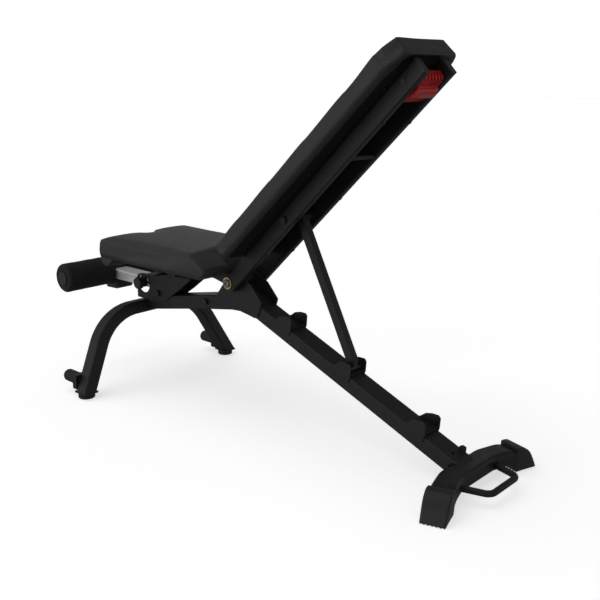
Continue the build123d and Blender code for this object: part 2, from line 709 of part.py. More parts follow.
# ---------------------------------------------------------------- strut
def strut_ends():
    """The strut's pivot on the back rails, and its foot pin in the middle catch."""
    foot = rail_point(FOOT_STATIONS["middle"], FOOT_PIN_HEIGHT)
    return back_point(STRUT_STATION, STRUT_SET), foot


def strut_pin():
    """The pivot bolt across the back rails, with its head and nut outside them."""
    x, z = strut_ends()[0]
    half = BACK_RAIL_OUTER + 0.3
    pin = rod_across(x, z, STRUT_PIN_RADIUS, -half, half)
    for side in SIDES.values():
        pin += hex_bolt_head(x, z, side * half, side, across=18, height=6, washer=11)
    return pin


def strut_hub():
    """The cross tube on the pivot bolt that carries the strut."""
    x, z = strut_ends()[0]
    half = RAIL_INNER - 1
    return ring_across(x, z, STRUT_HUB_RADIUS, STRUT_PIN_RADIUS + FIT, -half, half)


def strut_point(along, across):
    """A point in the strut: back from its foot, and square to its length."""
    (top_x, top_z), (foot_x, foot_z) = strut_ends()
    length = hypot(top_x - foot_x, top_z - foot_z)
    up_x, up_z = (top_x - foot_x) / length, (top_z - foot_z) / length
    return foot_x + along * up_x + across * up_z, foot_z + along * up_z - across * up_x


def strut_tube():
    top, foot = strut_ends()
    length = hypot(top[0] - foot[0], top[1] - foot[1])
    tube = straight_tube(strut_point(length, STRUT_OFFSET), strut_point(18, STRUT_OFFSET), 0,
                         STRUT_SECTION, STRUT_DEPTH, STRUT_CORNER, STRUT_WALL)
    return tube - rod_across(*top, STRUT_HUB_RADIUS, -30, 30)


def strut_foot():
    """The tapered end block in the strut's tube, with the cross pin that the catches hold."""
    foot = strut_ends()[1]
    inside = STRUT_DEPTH / 2 - STRUT_WALL - 0.15
    half = STRUT_SECTION / 2 - STRUT_WALL - 0.15
    front = STRUT_OFFSET - inside
    back = STRUT_OFFSET + inside
    side = FOOT_PIN_RADIUS - 0.1
    outline = [strut_point(44, front), strut_point(16, front), strut_point(0, -side),
               strut_point(0, side), strut_point(16, back), strut_point(44, back)]
    block = plate_across(outline, -half, half)
    return block + rod_across(*foot, FOOT_PIN_RADIUS, -FOOT_PIN_HALF, FOOT_PIN_HALF)


# ---------------------------------------------------------------- seat
def seat_lug_faces():
    inner = PLATE_FACE + 2
    return inner, inner + SEAT_LUG


def seat_rail(side):
    """A seat rail with the lug plate that reaches back to the pivot shaft."""
    inner, outer = seat_lug_faces()
    top = SEAT_BASE
    low = top - SEAT_RAIL_HEIGHT
    front = PIVOT_X - SEAT_RAIL_FRONT
    rear = PIVOT_X - 62
    y = side * (inner - SEAT_RAIL_WIDTH / 2)
    mid = (top + low) / 2
    tube = straight_tube((front, mid), (rear, mid), y, SEAT_RAIL_WIDTH, SEAT_RAIL_HEIGHT, 3, 2)
    lug = plate_across([(rear - 90, top), (rear - 90, low + 4), (rear - 20, low),
                        (PIVOT_X - 16, PIVOT_HEIGHT - 17), (PIVOT_X + 8, PIVOT_HEIGHT - 17),
                        (PIVOT_X + 17, PIVOT_HEIGHT), (PIVOT_X + 8, PIVOT_HEIGHT + 16),
                        (PIVOT_X - 30, top)], side * inner, side * outer, radius=2)
    lug -= rod_across(PIVOT_X, PIVOT_HEIGHT, SHAFT_RADIUS + FIT, side * 20, side * 60)
    return tube + lug


def seat_bracket():
    """The cross bracket under the seat rails that rests on the guide plates."""
    low = SEAT_BASE - SEAT_RAIL_HEIGHT
    x0 = PIVOT_X - 312
    x1 = PIVOT_X - 262
    half = GUIDE_FACE
    points = [(x0, low), (x1, low), (x1, low - 8), (x1 - 8, guide_top(x1 - 8) + GAP),
              (x0 + 8, guide_top(x0 + 8) + GAP), (x0, low - 8)]
    return plate_across(points, -half, half)


def seat_outline(inset):
    """The seat's plan: a straight front with a central notch."""
    half = SEAT_WIDTH / 2 - inset
    front = PIVOT_X - SEAT_FRONT + inset
    rear = PIVOT_X + SEAT_TAIL - inset
    mouth = SEAT_NOTCH_WIDTH / 2 + inset
    floor = SEAT_NOTCH_FLOOR / 2 + inset
    deep = front + SEAT_NOTCH_DEPTH
    points = [(front, -half), (front, -mouth), (deep, -floor), (deep, floor), (front, mouth),
              (front, half), (rear, half), (rear, -half)]
    return make_face(FilletPolyline(*points, radius=10, close=True))


def seat_pad():
    """Foam and cover of the seat, with a rolled front lip and a sloped rear."""
    base = SEAT_BASE
    front = PIVOT_X - SEAT_FRONT
    rear = PIVOT_X + SEAT_TAIL
    top = SEAT_HEIGHT
    low = base - SEAT_LIP_DROP
    side_view = [(front + 38, top), (front + 14, top - 8), (front, top - 36), (front + 4, low + 16),
                 (front + 20, low), (front + 48, low + 2), (front + 74, base),
                 (rear - 34, base), (rear, base + 16), (rear, top - 29), (rear - SEAT_SLOPE, top)]
    body = plate_across(side_view, -SEAT_WIDTH / 2, SEAT_WIDTH / 2)
    plan = Pos(0, 0, low - 10) * extrude(seat_outline(0), amount=top - low + 20)
    pocket = Pos(0, 0, base - 1) * extrude(seat_board_face(-0.2), amount=BOARD + 1.1)
    recess = box_between(PIVOT_X - SEAT_REAR - SEAT_HEEL, rear + 5, -SEAT_RECESS_HALF,
                         SEAT_RECESS_HALF, base - 5, top + 5)
    return (body & plan) - pocket - recess


def seat_board_face(shrink):
    """The seat board's plan, behind the front lip."""
    half = SEAT_WIDTH / 2 - 16 - shrink
    front = PIVOT_X - SEAT_FRONT + 78 + shrink
    rear = PIVOT_X - SEAT_REAR - 14 - shrink
    return make_face(FilletPolyline((front, -half), (front, half), (rear, half), (rear, -half),
                                    radius=12, close=True))


def seat_board():
    return Pos(0, 0, SEAT_BASE) * extrude(seat_board_face(0), amount=BOARD)


def seat_screws():
    """Screws up through the seat rails into the board."""
    inner, outer = seat_lug_faces()
    screws = []
    low = SEAT_BASE - SEAT_RAIL_HEIGHT
    for reach in (370.0, 230.0, 110.0):
        for side in SIDES.values():
            y = side * (inner - SEAT_RAIL_WIDTH / 2)
            screws.append(Pos(PIVOT_X - reach, y, low - 1.5) * Cylinder(6.5, 3))
    return group(screws)


# ---------------------------------------------------------------- leg tube and rollers
def leg_tube():
    """The bright sliding tube; the plunger runs in the slot in its left wall."""
    mid = LEG_TUBE_BOTTOM + LEG_TUBE_HEIGHT / 2
    tube = straight_tube((LEG_TUBE_X, mid), (LEG_TUBE_X + LEG_TUBE_LENGTH, mid), 0,
                         LEG_TUBE_WIDTH, LEG_TUBE_HEIGHT, 4, LEG_TUBE_WALL)
    slot_half = PLUNGER_RADIUS + GAP
    x0 = KNOB_X - LEG_TRAVEL_IN - slot_half
    x1 = KNOB_X + LEG_TRAVEL_OUT + slot_half
    return tube - box_between(x0, x1, -LEG_TUBE_WIDTH, -LEG_TUBE_WIDTH / 2 + 4,
                              mid - slot_half, mid + slot_half)


def leg_tube_plug():
    """The plastic plug in the leg tube's rear end."""
    mid = LEG_TUBE_BOTTOM + LEG_TUBE_HEIGHT / 2
    end = LEG_TUBE_X + LEG_TUBE_LENGTH
    inside = 2 * LEG_TUBE_WALL + 0.2
    plug = straight_tube((end - 12, mid), (end, mid), 0, LEG_TUBE_WIDTH - inside,
                         LEG_TUBE_HEIGHT - inside, 1.8)
    return plug + straight_tube((end, mid), (end + 3, mid), 0, LEG_TUBE_WIDTH, LEG_TUBE_HEIGHT, 4)


def roller_bracket():
    """The black end piece of the leg tube: plug, axle sleeve and a short foot below."""
    mid = LEG_TUBE_BOTTOM + LEG_TUBE_HEIGHT / 2
    half = LEG_TUBE_WIDTH / 2
    inside = 2 * LEG_TUBE_WALL + 0.2
    plug = straight_tube((LEG_TUBE_X, mid), (LEG_TUBE_X + 40, mid), 0, LEG_TUBE_WIDTH - inside,
                         LEG_TUBE_HEIGHT - inside, 1.8)
    plug -= box_between(LEG_TUBE_X + 4, LEG_TUBE_X + 60, -half + 8, half - 8, mid - 9, mid + 9)
    face = plate_across([(AXLE_X - 4, AXLE_HEIGHT + 15), (LEG_TUBE_X, AXLE_HEIGHT + 6),
                         (LEG_TUBE_X, LEG_TUBE_BOTTOM - 0.2), (LEG_TUBE_X + 24, LEG_TUBE_BOTTOM - 0.2),
                         (LEG_TUBE_X + 24, 270), (LEG_TUBE_X + 18, 264), (AXLE_X - 20, 262),
                         (AXLE_X - 24, 268), (AXLE_X - 15, AXLE_HEIGHT - 6)],
                        -half, half)
    sleeve = rod_across(AXLE_X, AXLE_HEIGHT, 15, -half, half)
    bracket = plug + face + sleeve
    return bracket - rod_across(AXLE_X, AXLE_HEIGHT, AXLE_RADIUS, -60, 60)


def roller_axle():
    end = ROLLER_START + ROLLER_LENGTH - 4
    return rod_across(AXLE_X, AXLE_HEIGHT, AXLE_RADIUS, -end, end)


def roller_core(side):
    """The plastic tube inside a foam roller, closed by its round outer cap."""
    y0 = side * ROLLER_START
    y1 = side * (ROLLER_START + ROLLER_LENGTH)
    core = rod_across(AXLE_X, AXLE_HEIGHT, ROLLER_BORE - 0.15, y0, y1)
    core += rod_across(AXLE_X, AXLE_HEIGHT, 22, y1, y1 + side * 3)
    return core - rod_across(AXLE_X, AXLE_HEIGHT, AXLE_RADIUS + FIT, side * 10, y1 - side * 3)


def foam_roller(side):
    y0 = side * ROLLER_START
    y1 = side * (ROLLER_START + ROLLER_LENGTH)
    foam = rod_across(AXLE_X, AXLE_HEIGHT, ROLLER_RADIUS, y0, y1)
    foam = fillet(foam.edges(), 8)
    return foam - rod_across(AXLE_X, AXLE_HEIGHT, ROLLER_BORE, side * 10, side * 300)


# ---------------------------------------------------------------- output
def main():
    os.makedirs("parts", exist_ok=True)
    save("front_tube", front_tube())
    save("rear_rail", rear_rail())
    save("pivot_sleeve", pivot_sleeve())
    save("front_leg_arch", front_leg_arch())
    save("rear_stabilizer", rear_stabilizer())
    save("carry_handle", carry_handle())
    save("storage_tab", storage_tab())
    save("frame_bolts", frame_bolts())
    for name, station in FOOT_STATIONS.items():
        save(f"strut_catch_{name}", catch(station))
    save("leg_tube_glides", leg_tube_glides())
    save("plunger_barrel", plunger_barrel())
    save("pull_knob", pull_knob())
    save("pivot_shaft", pivot_shaft())
    save("pivot_shaft_screws", shaft_screws())
    save("pivot_thrust_washers", thrust_washers())
    save("back_cross_rod", cross_rod())
    save("back_board", back_board())
    save("back_pad", back_pad())
    save("back_screws", back_screws())
    save("lever_pin", lever_pin())
    save("release_lever", release_lever())
    save("strut_pin", strut_pin())
    save("strut_hub", strut_hub())
    save("strut_tube", strut_tube())
    save("strut_foot_pin", strut_foot())
    save("seat_bracket", seat_bracket())
    save("seat_pad", seat_pad())
    save("seat_board", seat_board())
    save("seat_screws", seat_screws())
    save("leg_tube", leg_tube())
    save("leg_tube_plug", leg_tube_plug())
    save("roller_bracket", roller_bracket())
    save("roller_axle", roller_axle())
    save("back_rail_plugs", group(rail_plug(side) for side in SIDES.values()))
    save("bumper_mounts", group(bumper_mount(side) for side in SIDES.values()))
    save("pivot_bushes", group(pivot_bush(side) for side in SIDES.values()))
    for name, side in SIDES.items():
        save(f"pivot_gusset_{name}", gusset(side))
        save(f"front_leg_cap_{name}", leg_cap(side))
        save(f"front_foot_pad_{name}", foot_pad(side))
        save(f"stow_bumper_{name}", stow_bumper(side))
        save(f"rear_cap_{name}", rear_cap(side))
        save(f"guide_plate_{name}", guide_plate(side))
        save(f"back_rail_{name}", back_rail(side))
        save(f"seat_rail_{name}", seat_rail(side))
        save(f"roller_core_{name}", roller_core(side))
        save(f"foam_roller_{name}", foam_roller(side))


if __name__ == "__main__":
    main()
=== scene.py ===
import json
import math

import bmesh
import bpy
import numpy as np
from mathutils import Matrix, Vector, noise

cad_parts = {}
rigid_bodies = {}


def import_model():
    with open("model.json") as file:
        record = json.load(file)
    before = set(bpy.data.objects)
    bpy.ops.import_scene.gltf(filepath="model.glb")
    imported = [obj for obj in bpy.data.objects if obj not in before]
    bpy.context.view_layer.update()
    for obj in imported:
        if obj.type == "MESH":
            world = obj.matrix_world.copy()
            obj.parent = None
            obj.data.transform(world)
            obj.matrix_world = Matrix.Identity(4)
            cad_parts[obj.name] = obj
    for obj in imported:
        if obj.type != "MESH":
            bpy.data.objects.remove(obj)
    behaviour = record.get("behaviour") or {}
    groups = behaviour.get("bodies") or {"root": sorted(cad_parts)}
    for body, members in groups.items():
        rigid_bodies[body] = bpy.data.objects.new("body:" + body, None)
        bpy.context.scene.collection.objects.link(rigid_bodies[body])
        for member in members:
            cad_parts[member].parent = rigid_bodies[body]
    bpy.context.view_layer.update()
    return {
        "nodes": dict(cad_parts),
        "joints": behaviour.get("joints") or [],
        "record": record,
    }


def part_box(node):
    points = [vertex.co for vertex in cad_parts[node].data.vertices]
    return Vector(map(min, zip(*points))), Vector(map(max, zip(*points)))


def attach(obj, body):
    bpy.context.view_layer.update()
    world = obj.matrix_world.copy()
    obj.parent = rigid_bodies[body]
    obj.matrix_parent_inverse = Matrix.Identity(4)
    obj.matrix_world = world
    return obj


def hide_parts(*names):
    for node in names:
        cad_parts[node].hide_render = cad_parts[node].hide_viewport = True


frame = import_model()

# ---------------------------------------------------------------- sizes, in metres
BACK_LEAN = math.radians(43.5)            # backrest above the horizontal
PAD_VOXEL = 0.005                         # the cushions' even face size
SWELL_LIMIT = 0.005                       # the most that foam pressure may move the cover
HELD_DEPTH = 0.013                        # the cover's edge that is fixed round the board
FIELD_ROUNDS = 24                         # how often the cover's movement is averaged
CLOTH_STEPS = 20
BACK_LOW_HALF = 0.144                     # half the back cushion's width at its lower end
BACK_HIGH_HALF = 0.1215                   # and before its upper corners
BACK_END_HALF = 0.078                     # and across its upper end
BACK_CORNER = 0.066                       # the length of the upper corners' sweep
END_EDGE = 0.030                          # how far in the upper end's soft edge reaches
FACE_EDGE = 0.024                         # and the face's
END_GROWTH = 0.006
EDGE_CRISPNESS = 0.8
SEAT_RISE = 0.0035                        # the seat's crown: lift at the edge, and more in
SEAT_CROWN = 0.004                        # the middle
ROLLER_BORE = 0.0152
ROLLER_EDGE = 0.011
RIB_PITCH = 0.0128                        # the lever's ribs
RIB_DEPTH = 0.0075
LIP_TAPER = 0.16
SHOE_SWEEP = math.radians(17)
SHOE_START = 0.075                        # where the shoes begin, out from the middle
SOLE_DEPTH = 0.006
SOLE_PITCH = 0.0102
RAIL_LEAN = math.radians(21.8)            # the rear rail below the horizontal
STAPLE_PITCH = 0.021
STAPLE_CROWN = 0.009
STAPLE_WIRE_WIDTH = 0.0011
WELD_PITCH = 0.0016
WELD_RADIUS = 0.0011
TUBE_SIDE = 0.0301                        # the rail's side face, out from the middle
CATCH_STATIONS = (0.210, 0.434, 0.685)    # along the rail from under the pivot
CAMERA_PLACE = (1.5751, -1.5909, 0.9343)
CAMERA_AIM = (0.1175, 0.0, 0.3619)
CAMERA_LENS = 49.65
FLOOR_GLOW = 0.63
# the surroundings' brightness against height: 0 is straight down, 0.5 level, 1 straight up
SKY = ((0.0, 0.16), (0.470, 0.26), (0.492, 1.04), (0.560, 1.04), (0.620, 0.20), (1.0, 0.19))
SUNS = (("overhead", (-1.2, -0.7, 3.0), 0.76, 60), ("side", (-0.9, -2.9, 0.1), 0.9, 50))
SLOTS = {s["node"]: s["material_slot"] for s in frame["record"]["subparts"]}
JOINTS = {j["name"]: j for j in frame["joints"]}
PIVOT = Vector(JOINTS["back_lower"]["pos_m"])
SIDES = ("left", "right")
scene = bpy.context.scene

# the backrest's own axes: up the back, across the bench, and towards the cushion's face
BACK = Matrix((
    (math.cos(BACK_LEAN), 0, -math.sin(BACK_LEAN), PIVOT.x),
    (0, 1, 0, 0),
    (math.sin(BACK_LEAN), 0, math.cos(BACK_LEAN), PIVOT.z),
    (0, 0, 0, 1),
))


# ---------------------------------------------------------------- finishes
class Wire:
    """One output socket in a finish, so that sums on it read as plain arithmetic."""

    def __init__(self, finish, socket):
        self.finish = finish
        self.socket = socket

    def sum(self, operation, first, second):
        return self.finish.node("ShaderNodeMath", {"operation": operation}, [first, second])

    def __add__(self, other):
        return self.sum("ADD", self, other)

    def __mul__(self, other):
        return self.sum("MULTIPLY", self, other)

    def __pow__(self, other):
        return self.sum("POWER", self, other)


class Finish:
    """A material built node by node."""

    def __init__(self, name):
        self.material = bpy.data.materials.new(name)
        self.material.use_nodes = True
        self.tree = self.material.node_tree
        self.shader = self.tree.nodes["Principled BSDF"]
        self.place = self.node("ShaderNodeTexCoord", out="Object")

    def node(self, kind, settings=None, inputs=None, out=0):
        made = self.tree.nodes.new(kind)
        for key, value in (settings or {}).items():
            if key == "stops":
                ramp = made.color_ramp
                while len(ramp.elements) < len(value):
                    ramp.elements.new(0.5)
                for element, (position, colour) in zip(ramp.elements, value):
                    element.position = position
                    element.color = (*colour, 1.0)
            else:
                setattr(made, key, value)
        pairs = inputs.items() if isinstance(inputs, dict) else enumerate(inputs or [])
        for key, value in pairs:
            if isinstance(value, Wire):
                self.tree.links.new(value.socket, made.inputs[key])
            else:
                made.inputs[key].default_value = value
        return Wire(self, made.outputs[out])

    def noise(self, scale, detail=2.0, roughness=0.5, place=None):
        return self.node("ShaderNodeTexNoise", {}, {
            "Vector": place or self.place, "Scale": scale, "Detail": detail,
            "Roughness": roughness}, out="Fac")

    def stretched(self, scale, turn=(0.0, 0.0, 0.0)):
        return self.node("ShaderNodeMapping", {}, {
            "Vector": self.place, "Scale": scale, "Rotation": turn})

    def cells(self, scale, feature="F1", place=None):
        return self.node("ShaderNodeTexVoronoi", {"feature": feature}, {
            "Vector": place or self.place, "Scale": scale}, out="Distance")

    def ramp(self, value, *stops):
        return self.node("ShaderNodeValToRGB", {"stops": stops}, [value], out="Color")

    def blend(self, amount, first, second):
        made = self.tree.nodes.new("ShaderNodeMix")
        made.data_type = "RGBA"
        for socket, value in ((made.inputs[0], amount), (made.inputs[6], first),
                              (made.inputs[7], second)):
            if isinstance(value, Wire):
                self.tree.links.new(value.socket, socket)
            else:
                socket.default_value = (*value, 1.0) if isinstance(value, tuple) else value
        return Wire(self, made.outputs[2])

    def relief(self, height, distance, strength=1.0):
        return self.node("ShaderNodeBump", {}, {
            "Strength": strength, "Distance": distance, "Height": height})

    def surface(self, **values):
        for key, value in values.items():
            socket = self.shader.inputs[key.replace("_", " ")]
            if isinstance(value, Wire):
                self.tree.links.new(value.socket, socket)
            else:
                socket.default_value = (*value, 1.0) if isinstance(value, tuple) else value
        return self.material


def powder_coat(name, tone, rough=0.5):
    """Satin powder coat: orange peel, faint cloudiness, a few dusty scuffs."""
    f = Finish(name)
    cloud = f.noise(9.0, 4.0)
    scuff = f.ramp(f.noise(60.0, 6.0, 0.7), (0.60, (0, 0, 0)), (0.74, (1, 1, 1)))
    peel = f.noise(700.0, 2.0) + f.noise(1800.0, 1.0) * 0.4
    light = tuple(c * 1.5 + 0.004 for c in tone)
    colour = f.blend(cloud, tuple(c * 0.8 for c in tone), light)
    colour = f.blend(scuff * 0.12, colour, tuple(c * 3 + 0.01 for c in tone))
    return f.surface(Base_Color=colour, Roughness=cloud * 0.14 + scuff * 0.08 + (rough - 0.07),
                     Specular_IOR_Level=0.24, Normal=f.relief(peel, 0.00022, 0.55))


def vinyl(name, tone, rough=0.5):
    """Upholstery vinyl: a pebble grain with fine pores and slow wear in its sheen."""
    f = Finish(name)
    wobble = f.noise(260.0, 2.0)
    pebble = f.cells(620.0, "SMOOTH_F1")
    crease = f.cells(330.0, "DISTANCE_TO_EDGE")
    crease = f.ramp(crease, (0.0, (0, 0, 0)), (0.10, (1, 1, 1)))
    slow = f.noise(5.0, 3.0)
    worn = f.noise(32.0, 5.0, 0.6)
    colour = f.blend(slow * 0.6 + worn * 0.4, tuple(c * 0.82 for c in tone),
                     tuple(c * 1.22 for c in tone))
    height = pebble * -0.8 + crease * 0.35 + wobble * 0.5
    return f.surface(Base_Color=colour, Roughness=worn * 0.12 + slow * 0.06 + (rough - 0.09),
                     Specular_IOR_Level=0.3, Normal=f.relief(height, 0.0004, 0.55))


def brushed_metal(name, tone, scale, rough=0.3):
    """Bright metal with drawn lines along the axis that is stretched."""
    f = Finish(name)
    lines = f.noise(1.0, 3.0, 0.7, f.stretched(scale))
    blotch = f.noise(14.0, 3.0)
    colour = f.blend(blotch, tuple(c * 0.9 for c in tone), tone)
    return f.surface(Base_Color=colour, Metallic=0.35, Roughness=lines * 0.22 + (rough - 0.08),
                     Normal=f.relief(lines, 0.00012, 0.35))


def plated_metal(name, tone, rough=0.32):
    """Zinc or brass hardware: mottled plating and fine turning marks."""
    f = Finish(name)
    mottle = f.noise(120.0, 4.0, 0.6)
    marks = f.noise(1.0, 2.0, 0.6, f.stretched((1500.0, 90.0, 1500.0)))
    colour = f.blend(mottle, tuple(c * 0.75 for c in tone), tone)
    return f.surface(Base_Color=colour, Metallic=0.85, Roughness=mottle * 0.2 + (rough - 0.08),
                     Normal=f.relief(marks + mottle * 0.5, 0.0001, 0.4))


def moulded_plastic(name, tone, rough=0.48, grain=900.0):
    """Injection-moulded plastic with a spark-eroded texture."""
    f = Finish(name)
    texture = f.noise(grain, 3.0, 0.65)
    cloud = f.noise(18.0, 2.0)
    colour = f.blend(cloud, tuple(c * 0.85 for c in tone), tuple(c * 1.2 for c in tone))
    return f.surface(Base_Color=colour, Roughness=texture * 0.12 + cloud * 0.06 + (rough - 0.09),
                     Specular_IOR_Level=0.3, Normal=f.relief(texture, 0.0002, 0.5))


def rubber_skin(name, tone, rough=0.72):
    """Dull rubber with a dusty bloom."""
    f = Finish(name)
    bloom = f.noise(38.0, 5.0, 0.6)
    tooth = f.noise(1300.0, 2.0)
    colour = f.blend(bloom ** 2.0, tone, tuple(c * 2.1 + 0.004 for c in tone))
    return f.surface(Base_Color=colour, Roughness=bloom * 0.12 + (rough - 0.06),
                     Specular_IOR_Level=0.3, Normal=f.relief(tooth, 0.00018, 0.5))


def foam_skin(name, tone):
    """Closed-cell foam: small pits, drawn pores along the roller and a chalky bloom."""
    f = Finish(name)
    pits = f.cells(850.0, "F1")
    pores = f.noise(1.0, 2.0, 0.6, f.stretched((520.0, 210.0, 520.0)))
    bloom = f.noise(26.0, 4.0, 0.6)
    colour = f.blend(bloom * 0.7 + pores * 0.3, tuple(c * 0.8 for c in tone),
                     tuple(c * 1.45 for c in tone))
    return f.surface(Base_Color=colour, Roughness=pores * 0.1 + 0.74, Specular_IOR_Level=0.28,
                     Normal=f.relief(pits * -1.0 + pores * 0.7, 0.0005, 0.5))


def backing_cloth(name, tone):
    """The thin woven dust cover under a cushion's board."""
    f = Finish(name)
    across = f.node("ShaderNodeTexWave", {"bands_direction": "Y"}, {
        "Vector": f.place, "Scale": 260.0, "Distortion": 0.6}, out="Fac")
    along = f.node("ShaderNodeTexWave", {"bands_direction": "X"}, {
        "Vector": f.place, "Scale": 260.0, "Distortion": 0.6}, out="Fac")
    fibre = f.noise(500.0, 4.0, 0.7)
    colour = f.blend(fibre, tuple(c * 0.7 for c in tone), tuple(c * 1.4 for c in tone))
    return f.surface(Base_Color=colour, Roughness=0.86, Specular_IOR_Level=0.2,
                     Normal=f.relief(across * along + fibre * 0.4, 0.0003, 0.5))


FINISHES = {
    "frame_black": powder_coat("frame_coat", (0.0098, 0.0098, 0.0103)),
    "pad_vinyl": vinyl("cushion_vinyl", (0.0225, 0.0227, 0.023)),
    "board_wood": backing_cloth("board_cover", (0.006, 0.006, 0.006)),
    "zinc_steel": plated_metal("zinc_plate", (0.20, 0.20, 0.21)),
    "bright_tube": brushed_metal("drawn_steel", (0.82, 0.83, 0.84), (6.0, 1400.0, 1400.0)),
    "bush_brass": plated_metal("bush_bronze", (0.60, 0.45, 0.16), 0.3),
    "lever_red": moulded_plastic("lever_red_plastic", (0.42, 0.006, 0.006), 0.34),
    "black_plastic": moulded_plastic("shoe_plastic", (0.0175, 0.0175, 0.018), 0.5),
    "black_rubber": rubber_skin("foot_rubber", (0.012, 0.012, 0.012)),
    "roller_foam": foam_skin("roller_foam_skin", (0.0125, 0.0125, 0.013)),
}
BLACK_HARDWARE = powder_coat("black_hardware", (0.014, 0.014, 0.0145), 0.34)
STAPLE_WIRE = powder_coat("blackened_wire", (0.03, 0.03, 0.03), 0.3)
WELD_COAT = powder_coat("weld_coat", (0.010, 0.010, 0.0105), 0.36)
BLACK_NODES = ("frame_bolts", "strut_pin", "lever_pin", "back_screws", "seat_screws",
               "strut_foot_pin", "plunger_barrel")


def dress(piece, material):
    piece.data.materials.clear()
    piece.data.materials.append(material)


for name, node in frame["nodes"].items():
    dress(node, BLACK_HARDWARE if name in BLACK_NODES else FINISHES[SLOTS[name]])


# ---------------------------------------------------------------- mesh helpers
def piece_from(name, mesh):
    piece = bpy.data.objects.new(name, mesh)
    scene.collection.objects.link(piece)
    return piece


def settled(piece):
    """The piece with its modifiers made part of its mesh."""
    bpy.context.view_layer.update()
    graph = bpy.context.evaluated_depsgraph_get()
    mesh = bpy.data.meshes.new_from_object(piece.evaluated_get(graph))
    piece.modifiers.clear()
    piece.data = mesh
    return piece


def points_of(piece):
    flat = np.empty(len(piece.data.vertices) * 3, np.float32)
    piece.data.vertices.foreach_get("co", flat)
    return flat.reshape(-1, 3).astype(float)


def put_points(piece, points):
    piece.data.vertices.foreach_set("co", points.astype(np.float32).ravel())
    piece.data.update()


def smooth_shaded(piece):
    for polygon in piece.data.polygons:
        polygon.use_smooth = True
    return piece


def finished(piece, body, slot, material, *nodes):
    dress(piece, material)
    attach(piece, body)
    if nodes:
        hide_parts(*nodes)
    return piece


# ---------------------------------------------------------------- cushions
def cushion_blank(node, name, axes):
    """A closed copy of a soft solid, in its own axes, with even small faces."""
    mesh = frame["nodes"][node].data.copy()
    work = bmesh.new()
    work.from_mesh(mesh)
    bmesh.ops.remove_doubles(work, verts=work.verts, dist=1e-5)
    work.transform(axes.inverted())
    work.to_mesh(mesh)
    work.free()
    blank = piece_from(name, mesh)
    remesh = blank.modifiers.new("even", "REMESH")
    remesh.mode = "VOXEL"
    remesh.voxel_size = PAD_VOXEL
    ease = blank.modifiers.new("ease", "SMOOTH")
    ease.factor = 0.5
    ease.iterations = 2
    return settled(blank)


def evened_field(piece, field, rounds):
    """Averages a movement over neighbouring points, so that no crumple is left in it."""
    ends = np.empty(len(piece.data.edges) * 2, np.int32)
    piece.data.edges.foreach_get("vertices", ends)
    first, second = ends[0::2], ends[1::2]
    count = np.bincount(ends, minlength=len(field))[:, None].astype(float)
    for _ in range(rounds):
        total = np.zeros_like(field)
        np.add.at(total, first, field[second])
        np.add.at(total, second, field[first])
        field = 0.4 * field + 0.6 * total / np.maximum(count, 1)
    return field


def swell(blank, hold, pressure=4.0):
    """Fills the cover with foam pressure while the held points stay on the board."""
    start = points_of(blank)
    group = blank.vertex_groups.new(name="held")
    for index in np.nonzero(hold)[0]:
        group.add([int(index)], 1.0, "REPLACE")
    cloth = blank.modifiers.new("fill", "CLOTH")
    cloth.settings.vertex_group_mass = "held"
    cloth.settings.use_pressure = True
    cloth.settings.uniform_pressure_force = pressure
    cloth.settings.effector_weights.gravity = 0
    cloth.settings.tension_stiffness = 30
    cloth.settings.compression_stiffness = 30
    cloth.settings.bending_stiffness = 4
    for number in range(1, CLOTH_STEPS + 1):
        scene.frame_set(number)
    settled(blank)
    scene.frame_set(1)
    move = evened_field(blank, points_of(blank) - start, FIELD_ROUNDS)
    length = np.linalg.norm(move, axis=1, keepdims=True)
    move *= np.minimum(1.0, SWELL_LIMIT / np.maximum(length, 1e-9))
    put_points(blank, start + move)
    blank.vertex_groups.clear()
    return blank


def rounded(blank, axes):
    """One subdivision, back in the bench's frame."""
    finer = blank.modifiers.new("finer", "SUBSURF")
    finer.levels = 1
    finer.render_levels = 1
    settled(blank)
    blank.data.transform(axes)
    return smooth_shaded(blank)


def ease_in(value, low, high):
    t = np.clip((value - low) / (high - low), 0, 1)
    return t * t * (3 - 2 * t)


def fitted(blank, low, high):
    """Stretches a cushion back to its full size after smoothing has drawn it in."""
    p = points_of(blank)
    for axis in range(3):
        first, last = p[:, axis].min(), p[:, axis].max()
        p[:, axis] = low[axis] + (p[:, axis] - first) * (high[axis] - low[axis]) / (last - first)
    put_points(blank, p)
    return blank


def back_half_width(s, low, high):
    """Half the back cushion's width, where its upper corners sweep round in plan."""
    side = BACK_LOW_HALF + (BACK_HIGH_HALF - BACK_LOW_HALF) * (s - low) / (high - low)
    start = high - BACK_CORNER
    turn = np.clip((s - start) / (high - start), 0, 1)
    return side - (side - BACK_END_HALF) * (1 - np.sqrt(np.maximum(1 - turn ** 2.4, 0)))


def squared_end(blank, low, high):
    """Brings the cushion's upper end and its face there out to a crisper edge."""
    p = points_of(blank)
    end_gap = np.clip(high[0] - p[:, 0], 0, END_EDGE)
    end_push = end_gap - end_gap ** 2 / END_EDGE
    face_gap = np.clip(high[2] - p[:, 2], 0, FACE_EDGE)
    face_push = face_gap - face_gap ** 2 / FACE_EDGE
    near_end = ease_in(p[:, 0], high[0] - 0.14, high[0] - 0.03)
    p[:, 2] += face_push * EDGE_CRISPNESS * near_end
    grown = END_GROWTH * ease_in(p[:, 0], high[0] - 0.08, high[0])
    p[:, 0] += end_push * EDGE_CRISPNESS + grown
    put_points(blank, p)
    return blank


